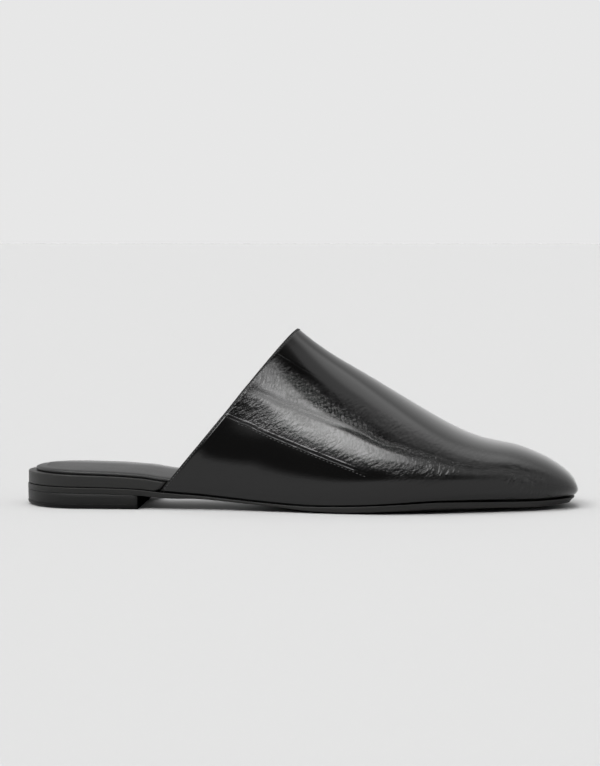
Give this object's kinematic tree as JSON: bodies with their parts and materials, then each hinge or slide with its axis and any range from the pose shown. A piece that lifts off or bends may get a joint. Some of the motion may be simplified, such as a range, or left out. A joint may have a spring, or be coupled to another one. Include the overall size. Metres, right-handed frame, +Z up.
{
  "type": "flat backless mule",
  "caption": "Flat right-foot mule of black leather: hollow vamp with a slanted collar, thin sole, low stacked heel.",
  "frame": {"origin": "middle of the heel's resting face, on the floor", "axes": "+X towards the toe, +Y towards the inner side of the foot, +Z up"},
  "size_m": [0.2606, 0.0869, 0.0833],
  "materials": {
    "upper_leather": "glossy black strips of finely wrinkled leather",
    "sole_leather": "black edge, smooth satin",
    "heel_stack": "black, smooth satin",
    "lift_rubber": "matt black",
    "rim_leather": "thin black leather wrapped over the board",
    "sock_leather": "smooth satin black lining"
  },
  "bodies": {
    "root": {"outsole": "sole_leather", "heel_block": "heel_stack", "heel_lift": "lift_rubber", "insole": "rim_leather", "sock": "sock_leather", "upper": "upper_leather"}
  },
  "joints": []
}
